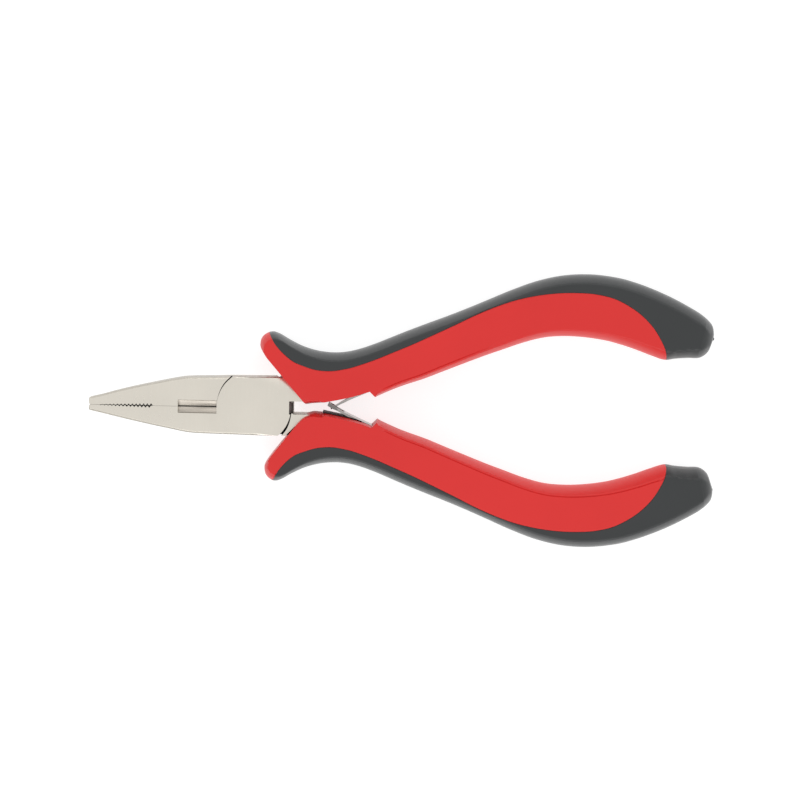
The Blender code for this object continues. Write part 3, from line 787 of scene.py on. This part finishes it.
# The upper flank is a darker copy of the lower one: painted shade. The flanks' ground-steel tone and grinding lines
# are their own.
FLANK_UP_SHADED = ground_flank("cutter_flank_upper_painted_shade", (0.50, 0.46, 0.405))
FLANK_DOWN = ground_flank("cutter_flank_lower", (0.54, 0.495, 0.435))
RIVET_MAT = nickel("rivet_steel", (0.70, 0.66, 0.59), 0.24)
RED_MAT = red_plastic("red_hard_plastic", RED)
GREY_MAT = grey_rubber("grey_soft_grip", GREY)
SPRING_MAT = spring_steel("spring_steel", (0.47, 0.46, 0.44))
# A darker copy of the spring steel for the lower leaf's end: painted shade, for the end seen edge-on.
FOLD_SHADE_MAT = spring_steel("spring_steel_folded_end_painted_shade", (0.26, 0.25, 0.24))


# ---- the two forged halves ----

UNDER = {
    1: [(3.6, -5.58), (0.0, -5.56), (-4.4, -5.46), (-9.4, -5.36), (-11.6, -5.30), (-12.6, -5.23), (-13.6, -5.11),
        (-14.6, -4.94), (-16.4, -4.58), (-18.4, -4.21), (-20.4, -3.83), (-22.4, -3.41), (-24.4, -3.00),
        (-26.4, -2.57), (-28.4, -2.12), (-30.4, -1.67), (-32.4, -1.24)],
    -1: [(2.6, -6.0), (0.0, -6.0), (-4.4, -6.00), (-7.4, -5.90), (-11.6, -5.82), (-13.2, -5.76), (-14.2, -5.66),
         (-15.2, -5.50), (-16.4, -5.28), (-18.4, -4.87), (-20.4, -4.45), (-22.4, -4.02), (-24.4, -3.57),
         (-26.4, -3.08), (-28.4, -2.55), (-30.4, -1.98), (-32.4, -1.52)],
}
HALF = JOINT_T / 2
LINE = 0.02              # half the closed line between the jaws


def thin(x):
    """Share of the joint's thickness that the jaws keep at x."""
    lift = (HALF - TIP_T / 2) / (TAPER_X - TIP_X)
    run = TAPER_X - x
    soft = 2.5
    eased = 0.0 if run < -soft else (run + soft) ** 2 / (4 * soft) if run < soft else run
    return (HALF - lift * eased) / HALF


def half_outline(side):
    """Plan from its own front; also which of its segments are outer, rounded ones."""
    jaw = [(TIP_X, -0.24), (TIP_X + 0.06, -0.15), (TIP_X + 0.32, -LINE - 0.03), (TIP_X + 0.6, -LINE),
           (-20.9, -LINE - 0.045), (-20.3, -LINE),
           (-JOINT_R - 0.02, -LINE)]
    top_y = 6.0 if side > 0 else 5.56
    a0 = math.degrees(math.asin(min(top_y / JOINT_R, 1)))
    front = arc(0, 0, JOINT_R, 180 - 0.4, 180 - a0, 24)
    (ix, iy), (ox, oy) = (10.2, 0.70), (2.1, 10.9)
    slip = SLIP[side]
    gx, gy = GUARD[side]
    ix, ox, oy = ix + slip, ox + slip + gx, oy + gy
    d = math.hypot(ox - ix, oy - iy)
    nx = (oy - iy) / d

    def face_x(y, into):
        f = (y - iy) / (oy - iy)
        return ix + (ox - ix) * f + into / nx

    top = [(-3.0, top_y), (0.0, top_y), (face_x(top_y, 0.9), top_y), (face_x(1.3, 0.9), 1.3), (PLATE_REAR, 1.3)]
    under_y = -UNDER[side][0][1]
    rear = [(PLATE_REAR, -1.12)] + arc(0, 0, JOINT_R, -9.2, -math.degrees(math.asin(under_y / JOINT_R)), 24)
    tip_y = 1.06 if side > 0 else 1.34
    tip = [(TIP_X + 0.14, -tip_y - 0.06), (TIP_X + 0.03, -tip_y + 0.09), (TIP_X, -tip_y + 0.22)]
    pts, outer = [], set()
    for run, is_outer in ((jaw, False), (front, False), (top, True), (rear, False), (UNDER[side], True), (tip, True)):
        if is_outer:
            outer |= set(range(len(pts), len(pts) + len(run) - 1))
        pts += run
    n_top = len(jaw) + len(front)
    outer -= {n_top + 2, n_top + 3}                     # inside the handle, and the tang's inner edge
    outer |= {len(pts) - len(tip) - 1, len(pts) - 1}
    fine = set(range(n_top, n_top + 3)) | {len(pts) - 3, len(pts) - 2, len(pts) - 1}
    return pts, outer, fine


def forged(side, name):
    pts, outer, fine = half_outline(side)
    # Rounded outer edges, heavier on the jaw's back than on the plate's top: stacked outlines,
    # each drawn in a little less.
    n = len(pts)
    area2 = sum(pts[k - 1][0] * pts[k][1] - pts[k][0] * pts[k - 1][1] for k in range(n))
    turn = 1 if area2 > 0 else -1
    draw_in = []
    for k in range(n):
        before, after = (k - 1) % n, k
        widths = [0.22 if e in fine else 0.45 for e in (before, after) if e in outer]
        if len(widths) < 2:
            draw_in.append((0.0, 0.0, 0.0))
            continue
        (x0, y0), (x1, y1), (x2, y2) = pts[before], pts[k], pts[(k + 1) % n]
        ax, ay, bx, by = x1 - x0, y1 - y0, x2 - x1, y2 - y1
        la, lb = math.hypot(ax, ay), math.hypot(bx, by)
        nx, ny = ay / la + by / lb, -ax / la - bx / lb
        ln = math.hypot(nx, ny)
        nx, ny = nx / ln, ny / ln
        stretch = turn / max(nx * ay / la - ny * ax / la, 0.6)
        draw_in.append((-nx * stretch, -ny * stretch, min(widths)))
    levels = []
    for k in range(5):
        t = math.pi / 2 * k / 4
        levels.append((1 - math.sin(t), 1 - math.cos(t)))
    rings = []
    for sign, run in ((-1, levels), (1, levels[::-1])):
        for share, drop in run:
            rings.append([place(x + dx * w * share, y + dy * w * share, sign * (HALF - w * drop))
                          for (x, y), (dx, dy, w) in zip(pts, draw_in)])
    verts, faces = [], []
    index = []
    for ring in rings:
        index.append(list(range(len(verts), len(verts) + n)))
        verts += ring
    for lo_r, hi_r in zip(index, index[1:]):
        for k in range(n):
            quad = (lo_r[k], lo_r[(k + 1) % n], hi_r[(k + 1) % n], hi_r[k])
            faces.append(quad)
    faces += [tuple(reversed(index[0])), tuple(index[-1])]
    body = new_object(name, verts, faces, [STEEL], 0)
    bm = bmesh.new()
    bm.from_mesh(body.data)
    bmesh.ops.remove_doubles(bm, verts=bm.verts, dist=1e-7)
    bmesh.ops.recalc_face_normals(bm, faces=bm.faces)
    bm.to_mesh(body.data)
    bm.free()

    tang = tang_prism("tang", 0.0, TANG_T / 2, 44.0, [STEEL])
    apply(body, [tang], "UNION")
    cutters = []
    # Room for the other half's round plate: a fine line at the jaw, wider towards the edges.
    ring = []
    for k in range(145):
        a = 8.2 + (360 - 16.4) * k / 144
        rear = a < 90
        r = JOINT_R + (0.16 + 0.30 * smooth((a - 6) / 34) if rear else 0.03 + 0.20 * smooth((a - 188) / 40))
        ring.append((r * math.cos(math.radians(a)), r * math.sin(math.radians(a))))
    ring += [(PLATE_REAR + 0.12, -1.16), (PLATE_REAR + 0.12, 1.16)]
    # Its walls, and the bore's, take the recess material's painted shade.
    cutters.append(prism("lap", ring, -HALF - 1, 0.03, [RECESS_SHADE_STEEL]))
    cutters.append(prism("bore", arc(0, 0, RIVET_R + 0.03, 0, 360, 64)[:-1],
                         -HALF - 1, HALF - 0.6 if side > 0 else HALF + 1, [RECESS_SHADE_STEEL]))
    # Short nose of the plate between the tangs, chamfered on its upper face.
    if side > 0:
        # the chamfer's faces carry painted shade
        cutters.append(xz_prism("nose", [(7.02, 3.6), (7.02, 3.0), (7.62, 0.7), (8.4, 0.7), (8.4, 3.6)], -1.3, 1.32, [NOSE_SHADE_STEEL]))
    # Gripping teeth, on both faces.
    tooth_verts, tooth_faces = [], []
    for k in range(TOOTH_N):
        x = TOOTH_X0 + k * TOOTH_PITCH
        f = k / (TOOTH_N - 1)
        if side > 0:
            deep, wide = 0.12 + 0.32 * f ** 0.85, 0.25 + 0.11 * f
        else:
            x += TOOTH_PITCH / 2
            deep, wide = 0.12 + 0.34 * f ** 0.85, 0.25 + 0.11 * f
        c = x + TOOTH_PITCH / 2
        tri = [(c - wide, 0.3), (c - wide, -0.004 * (k % 3)), (c, -LINE - deep), (c + wide, -0.004 * (k % 3)), (c + wide, 0.3)]
        for lo_z, hi_z in ((0.9, 4.2), (-4.2, -0.9)):
            base, m = len(tooth_verts), len(tri)
            tooth_verts += [place(px, py, lo_z) for px, py in tri] + [place(px, py, hi_z) for px, py in tri]
            tooth_faces += [tuple(base + q for q in range(m)), tuple(base + q for q in range(2 * m - 1, m - 1, -1))]
            tooth_faces += [(base + q, base + q + m, base + (q + 1) % m + m, base + (q + 1) % m) for q in range(m)]
    # The valleys' walls take the recess material's painted shade.
    cutters.append(new_object("teeth", tooth_verts, tooth_faces, [RECESS_SHADE_STEEL], 0))
    if side < 0:
        # the tang is set back a little where it goes into the handle, low on the front face; the cut is lined with
        # painted shadow, for the shadow gap at the handle
        cutters.append(prism("painted_shadow_gap", [(5.70, 6.2), (8.25, 3.62), (8.9, 3.3), (9.4, 6.2)], -HALF - 0.5, -1.6, [RECESS_SHADE_STEEL]))
    # Side cutter: a flank on each face, and the shadow line at the edge.
    for s in (1, -1):
        face = FLANK_DOWN if side > 0 else FLANK_UP_SHADED
        edge_y = 1.30
        flank = side_prism("flank", [(-edge_y, s * 4.0), (-edge_y, s * 3.02), (-edge_y + 0.10, s * 2.82),
                                     (-0.20, s * 2.25), (0.3, s * 2.25), (0.3, s * 4.0)], CUT_X0 + 0.45, CUT_X1 - 0.02, [face])
        cutters.append(flank)
        groove = side_prism("edge", [(-0.11, s * 3.0), (-0.11, s * 0.7), (0.15, s * 0.7), (0.15, s * 3.0)],
                            CUT_X0 + 0.47, CUT_X1 - 0.05, [RECESS_SHADE_STEEL])
        cutters.append(groove)
    for c in cutters:
        bm = bmesh.new()
        bm.from_mesh(c.data)
        bmesh.ops.recalc_face_normals(bm, faces=bm.faces)
        bm.to_mesh(c.data)
        bm.free()
    apply(body, cutters)
    # The jaws thin smoothly towards the tip.
    bm = bmesh.new()
    bm.from_mesh(body.data)
    x = TIP_X + 0.35
    while x < -6.4:
        bmesh.ops.bisect_plane(bm, geom=bm.verts[:] + bm.edges[:] + bm.faces[:], dist=1e-8,
                               plane_co=place(x, 0, 0), plane_no=(1, 0, 0))
        x += 0.7
    for v in bm.verts:
        lx = v.co.x / MM - PIVOT_X
        v.co.z = (Z0 + (v.co.z / MM - Z0) * thin(lx)) * MM if lx < -6.5 else v.co.z
    bm.to_mesh(body.data)
    bm.free()
    if side < 0:
        turn = (Matrix.Translation((0, 0, Z0 * MM)) @ Matrix.Rotation(math.pi, 4, "X")
                @ Matrix.Translation((0, 0, -Z0 * MM)))
        body.data.transform(turn)
    # The sides are rougher than the faces and carry painted shade; the rounded edges come between, with painted shade
    # that is deeper on the lower half than on the upper.
    names = [m.name for m in body.data.materials]
    body.data.materials.append(SIDE_SHADE_NICKEL)
    body.data.materials.append(LOWER_EDGE_SHADE_NICKEL if side > 0 else UPPER_EDGE_SHADE_NICKEL)
    for f in body.data.polygons:
        if names[f.material_index] == STEEL.name:
            up = abs(f.normal.z)
            if up < 0.4:
                f.material_index = len(names)
            elif up < 0.96:
                f.material_index = len(names) + 1
    body.data.shade_smooth()
    body.data.set_sharp_from_angle(angle=math.radians(24))
    return body


# ---- spring leaves ----

def leaf_strip(name, side):
    px, py, angle, length = LEAF[side]
    a = math.radians(angle)
    w = LEAF_W / 2
    if side > 0:
        rs = [-LEAF_STUB + 0.02] + [k * 0.23 for k in range(-3, 26)]
        rs += [5.9 + (length - 5.92) * k / 14 for k in range(15)]
        cols = [-1.0, -0.5, 0.0, 0.5, 1.0]

        def z_of(c, r):
            f = smooth((r - 0.8) / 5.9)
            end = 1.0 - 0.35 * smooth((r - length + 0.5) / 0.5)
            return c * (w * (1 - f) + TONGUE_W / 2 * f) * end

        def is_solid(r, c):
            return True
    else:
        rs = [-LEAF_STUB + 0.02] + [k * 0.23 for k in range(-3, 25)] + [5.9, 6.2]
        rs += [6.2 + (length - LEAF_BAND - 6.2) * k / 10 for k in range(1, 11)] + [length - 0.3, length - 0.02]
        n = SLOT_W / 2
        cols = [-w, -(w + n) / 2, -n, 0.0, n, (w + n) / 2, w]

        def z_of(c, r):
            return c

        def is_solid(r, c):
            return not (5.9 < r < length - LEAF_BAND and abs(c) < n)

    rs = sorted(set(round(r, 4) for r in rs))

    def half_thick(r):
        # the lower leaf's end is folded back on itself
        if side < 0:
            return LEAF_T / 2 * (0.98 + 0.40 * smooth((r - length + 2.0) / 0.6))
        return LEAF_T / 2 * (0.98 - 0.25 * smooth((r - 5.0) / 2.0))

    def bow(r):
        f = min(max(r / length, 0.0), 1.0)
        return 0.16 * math.sin(math.pi * f) * (1 if side > 0 else 1)

    def at(r, off, z):
        off += bow(r)
        x = px - r * math.cos(a) - off * math.sin(a)
        y = abs(py) - r * math.sin(a) + off * math.cos(a)
        return place(x, side * y, z)

    verts, index, faces = [], {}, []

    def vert(i, j, k):
        if (i, j, k) not in index:
            r = rs[i]
            index[(i, j, k)] = len(verts)
            verts.append(at(r, (2 * k - 1) * half_thick(r), z_of(cols[j], r)))
        return index[(i, j, k)]

    def cell(i, j):
        if not (0 <= i < len(rs) - 1 and 0 <= j < len(cols) - 1):
            return False
        return is_solid((rs[i] + rs[i + 1]) / 2, (cols[j] + cols[j + 1]) / 2)

    for i in range(len(rs) - 1):
        for j in range(len(cols) - 1):
            if not cell(i, j):
                continue
            for k in (0, 1):
                faces.append((vert(i, j, k), vert(i + 1, j, k), vert(i + 1, j + 1, k), vert(i, j + 1, k)))
            for di, dj, e in ((-1, 0, ((i, j), (i, j + 1))), (1, 0, ((i + 1, j), (i + 1, j + 1))),
                              (0, -1, ((i, j), (i + 1, j))), (0, 1, ((i, j + 1), (i + 1, j + 1)))):
                if not cell(i + di, j + dj):
                    (p, q), (r_, s_) = e
                    faces.append((vert(p, q, 0), vert(r_, s_, 0), vert(r_, s_, 1), vert(p, q, 1)))
    leaf = new_object(name, verts, faces, [SPRING_MAT, FOLD_SHADE_MAT], 30)
    # the leaf's end gets the darker copy: painted shade
    if side < 0:
        for f in leaf.data.polygons:
            x = f.center[0] / MM - PIVOT_X
            if x < px - (length - 2.1) * math.cos(a):
                f.material_index = 1
    return leaf


# ---- build ----

pieces = {}
for side, word, body in ((1, "upper", "front_half"), (-1, "lower", "back_half")):
    core, start, end = build_core(side, f"handle_core_{word}_look", RED_MAT)
    grip = build_grip(side, f"soft_grip_{word}_look", GREY_MAT, start, end)
    # moulding nub left at the butt
    nub_x, nub_y = (91.22, 14.85) if side > 0 else (91.75, -15.45)
    bm = bmesh.new()
    bmesh.ops.create_uvsphere(bm, u_segments=20, v_segments=12, radius=0.36 * MM,
                              matrix=Matrix.Translation(place(nub_x, nub_y, 0.6)))
    for v in bm.verts:
        v.co = inside(v.co)
    nub_mesh = bpy.data.meshes.new("nub")
    bm.to_mesh(nub_mesh)
    bm.free()
    nub_mesh.materials.append(GREY_MAT)
    nub = bpy.data.objects.new("nub", nub_mesh)
    bpy.context.scene.collection.objects.link(nub)
    bm = bmesh.new()
    bm.from_mesh(grip.data)
    bm.from_mesh(nub.data)
    bm.to_mesh(grip.data)
    bm.free()
    bpy.data.objects.remove(nub, do_unlink=True)
    grip.data.shade_smooth()
    grip.data.set_sharp_from_angle(angle=math.radians(32))
    slot = tang_prism("slot_cut", 0.02, TANG_T / 2 + 0.02, 44.0)
    if side < 0:
        mirror_y(slot)
    pocket = pocket_prism(side)
    for c in (slot, pocket):
        bm = bmesh.new()
        bm.from_mesh(c.data)
        bmesh.ops.recalc_face_normals(bm, faces=bm.faces)
        bm.to_mesh(c.data)
        bm.free()
    apply(core, [slot, pocket])
    core.data.materials.clear()
    core.data.materials.append(RED_MAT)
    core.data.shade_smooth()
    core.data.set_sharp_from_angle(angle=math.radians(32))
    for obj, node, mslot in ((core, f"handle_core_{word}", "red_hard_plastic_"), (grip, f"soft_grip_{word}", "grey_soft_grip_")):
        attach(obj, body)
        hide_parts(node)

jaw_low = forged(1, "jaw_half_lower_look")
jaw_up = forged(-1, "jaw_half_upper_look")
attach(jaw_low, "front_half")
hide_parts("jaw_half_lower")
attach(jaw_up, "back_half")
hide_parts("jaw_half_upper")

rivet = prism("pivot_rivet_look", arc(0, 0, RIVET_R, 0, 360, 64)[:-1], -HALF + 0.02, HALF - 0.62, [RIVET_MAT])
bm = bmesh.new()
bm.from_mesh(rivet.data)
low = [e for e in bm.edges if all(v.co.z < (Z0 - 3) * MM for v in e.verts)]
bmesh.ops.bevel(bm, geom=low, offset=0.18 * MM, offset_type="OFFSET", segments=3, profile=0.5, affect="EDGES")
bm.to_mesh(rivet.data)
bm.free()
rivet.data.shade_smooth()
rivet.data.set_sharp_from_angle(angle=math.radians(24))
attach(rivet, "front_half")
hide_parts("pivot_rivet")

for side, word, body in ((1, "upper", "front_half"), (-1, "lower", "back_half")):
    leaf = leaf_strip(f"spring_leaf_{word}_look", side)
    px, py, angle, length = LEAF[side]

    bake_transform(leaf)
    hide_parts(f"spring_leaf_{word}")


# The lower leaf is one strip folded at its root: this leg lies on the handle's inner side.
# Painted shade and painted reflection: the seated leg is near-black with a red cast from the handle beside it.
SEAT_SHADE_MAT = painted_shade_steel("spring_steel_seated_painted_shade", (0.050, 0.036, 0.036), 0.5)
verts, faces, rings = [], [], []
n_seat = 30
for k in range(n_seat + 1):
    x = 13.75 + (21.5 - 13.75) * k / n_seat
    u_lo, u_hi = 4.0, 12.0
    for _ in range(40):
        m = (u_lo + u_hi) / 2
        if inner_at(m, -1)[0] + SLIP[-1] < x:
            u_lo = m
        else:
            u_hi = m
    y = inner_at(u_lo, -1)[1]
    t = 0.12 * (1.0 + 0.35 * smooth(1 - (x - 13.75) / 1.0))
    lift = 0.12 * (1 - smooth((x - 19.5) / 2.5)) - 0.02
    c = -(y - lift)
    rings.append([place(x, c - t, -LEAF_W / 2), place(x, c + t, -LEAF_W / 2),
                  place(x, c + t, LEAF_W / 2), place(x, c - t, LEAF_W / 2)])
ends = tube(verts, faces, rings)
faces += [tuple(ends[0]), tuple(reversed(ends[-1]))]
seat = new_object("spring_leaf_lower_seat", verts, faces, [SEAT_SHADE_MAT], 30)
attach(seat, "back_half")


# ---- floor, light, camera ----

def floor_material():
    n = Nodes("pale_floor")
    a = n.noise(9.0, 4.0, 0.5)
    tone = n.mix(n.ramp(a, 0.3, 0.7, 0.0, 1.0), (0.34, 0.34, 0.34), (0.36, 0.36, 0.36))
    n.set(Base_Color=tone, Metallic=0.0, Roughness=n.ramp(a, 0.3, 0.7, 0.86, 0.92))
    n.bsdf.inputs["Specular IOR Level"].default_value = 0.1
    # a lit white table
    n.bsdf.inputs["Emission Color"].default_value = (1, 1, 1, 1)
    n.bsdf.inputs["Emission Strength"].default_value = 0.80
    return n.mat


floor = new_object("floor", [(-2, -2, 0), (2, -2, 0), (2, 2, 0), (-2, 2, 0)], [(0, 1, 2, 3)], [floor_material()], 0)
floor.location.z = -0.00002

world = bpy.data.worlds.new("studio")
bpy.context.scene.world = world
world.use_nodes = True
sky = world.node_tree
coord = sky.nodes.new("ShaderNodeTexCoord")
split = sky.nodes.new("ShaderNodeSeparateXYZ")
fade = sky.nodes.new("ShaderNodeFloatCurve")
points = fade.mapping.curves[0].points
points[0].location = (0.0, 0.30)
points[1].location = (1.0, 0.78)
for x, y in ((0.12, 0.38), (0.36, 0.92), (0.62, 0.92)):
    points.new(x, y)
fade.mapping.update()
sky.links.new(coord.outputs["Generated"], split.inputs["Vector"])
sky.links.new(split.outputs["Z"], fade.inputs["Value"])
sky.links.new(fade.outputs["Value"], sky.nodes["Background"].inputs["Strength"])
sky.nodes["Background"].inputs["Color"].default_value = (1.0, 1.0, 1.0, 1)


def area(name, at, size, power, look=(0, 0, 0), size_y=None):
    data = bpy.data.lights.new(name, "AREA")
    data.energy = power
    data.shape = "RECTANGLE"
    data.size = size
    data.size_y = size_y or size
    obj = bpy.data.objects.new(name, data)
    obj.location = at
    obj.rotation_mode = "QUATERNION"
    obj.rotation_quaternion = (Vector(look) - Vector(at)).to_track_quat("-Z", "Y")
    bpy.context.scene.collection.objects.link(obj)
    return obj


area("key", (-0.10, -0.80, 0.42), 0.9, 2.0, size_y=0.35)
area("fill", (0.20, 0.80, 0.45), 0.9, 1.2, size_y=0.35)

cam_data = bpy.data.cameras.new("camera")
cam = bpy.data.objects.new("camera", cam_data)
bpy.context.scene.collection.objects.link(cam)
bpy.context.scene.camera = cam
DISTANCE = 0.600
cam_data.sensor_width = 36.0
cam_data.lens = 36.0 * DISTANCE / 0.160
cam_data.clip_start, cam_data.clip_end = 0.05, 10.0
target = Vector(place(29.08, 1.65, 0.0))
roll = math.radians(0.85)
tilt = math.radians(5.0)
right = Vector((math.cos(roll), math.sin(roll), 0))
up0 = Vector((-math.sin(roll), math.cos(roll), 0))
back = (Vector((0, 0, 1)) * math.cos(tilt) + up0 * math.sin(tilt)).normalized()
up = back.cross(right).normalized()
cam.location = target + back * DISTANCE
cam.rotation_mode = "QUATERNION"
cam.rotation_quaternion = Matrix((right, up, back)).transposed().to_quaternion()

bpy.context.scene.view_settings.view_transform = "Standard"
bpy.context.scene.view_settings.look = "None"
